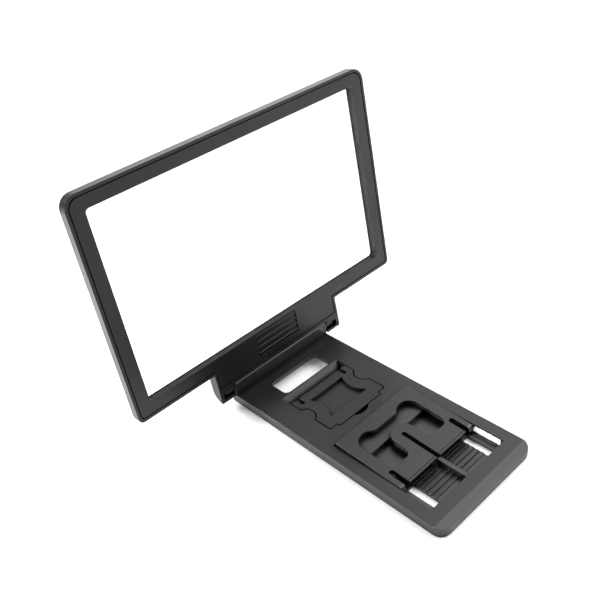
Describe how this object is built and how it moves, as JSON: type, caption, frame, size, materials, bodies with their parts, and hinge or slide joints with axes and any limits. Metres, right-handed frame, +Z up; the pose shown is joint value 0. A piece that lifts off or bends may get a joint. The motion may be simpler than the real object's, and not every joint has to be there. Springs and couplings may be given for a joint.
{
  "type": "video magnifier",
  "caption": "Folding screen magnifier: a wide flat lens in a thin black frame, hinged to a low base tray with a tilting phone flap and a sliding, folding phone backrest.",
  "frame": {"origin": "centre of the base's underside, in line with the middle of the hinge; the rubber feet stand 0.4 mm below it", "axes": "+Z up, +Y from the base's free end towards the lens, +X along the hinge, to the right of someone who looks from the base towards the lens"},
  "size_m": [0.185, 0.1601, 0.1462],
  "materials": {
    "black_plastic": "satin moulded ABS with a very fine spark-eroded texture",
    "washer_nylon": "dark nylon",
    "clear_lens": "clear acrylic sheet, polished",
    "foot_rubber": "soft matte rubber",
    "screw_steel": "zinc plated steel",
    "liner_acetal": "smooth white acetal strip"
  },
  "bodies": {
    "base": {"base_top_tray": "black_plastic", "base_bottom_cover": "black_plastic", "left_hinge_peg": "black_plastic", "right_hinge_peg": "black_plastic", "left_friction_washer": "washer_nylon", "right_friction_washer": "washer_nylon", "rear_left_foot": "foot_rubber", "rear_right_foot": "foot_rubber", "front_left_foot": "foot_rubber", "front_right_foot": "foot_rubber", "base_cover_screws": "screw_steel", "left_track_liner": "liner_acetal", "right_track_liner": "liner_acetal"},
    "lens_frame": {"lens_rear_shell": "black_plastic", "lens_front_bezel": "black_plastic", "fresnel_lens": "clear_lens"},
    "flap": {"phone_flap": "black_plastic"},
    "carriage": {"left_slide_pin": "black_plastic", "right_slide_pin": "black_plastic"},
    "backrest": {"phone_backrest": "black_plastic"},
    "left_tongue": {"left_spring_tongue": "black_plastic"},
    "right_tongue": {"right_spring_tongue": "black_plastic"}
  },
  "joints": [
    {"name": "frame_fold", "type": "hinge", "parent": "base", "child": "lens_frame", "pos_m": [0, 0.0672, 0.0099], "axis": [-1, 0, 0], "range_deg": [-96.6, 25]},
    {"name": "flap_tilt", "type": "hinge", "parent": "base", "child": "flap", "pos_m": [0, 0.0363, 0.0043], "axis": [-1, 0, 0], "range_deg": [0, 80]},
    {"name": "backrest_slide", "type": "slide", "parent": "base", "child": "carriage", "axis": [0, -1, 0], "range_m": [0, 0.01465]},
    {"name": "backrest_tilt", "type": "hinge", "parent": "carriage", "child": "backrest", "pos_m": [0, -0.0433, 0.003], "axis": [1, 0, 0], "range_deg": [0, 96.9]},
    {"name": "left_tongue_flex", "type": "hinge", "parent": "backrest", "child": "left_tongue", "pos_m": [0, -0.03487, 0.00636], "axis": [1, 0, 0], "range_deg": [0, 3], "stiffness_Nm_per_rad": 0.3},
    {"name": "right_tongue_flex", "type": "hinge", "parent": "backrest", "child": "right_tongue", "pos_m": [0, -0.03487, 0.00636], "axis": [1, 0, 0], "range_deg": [0, 3], "stiffness_Nm_per_rad": 0.3}
  ]
}
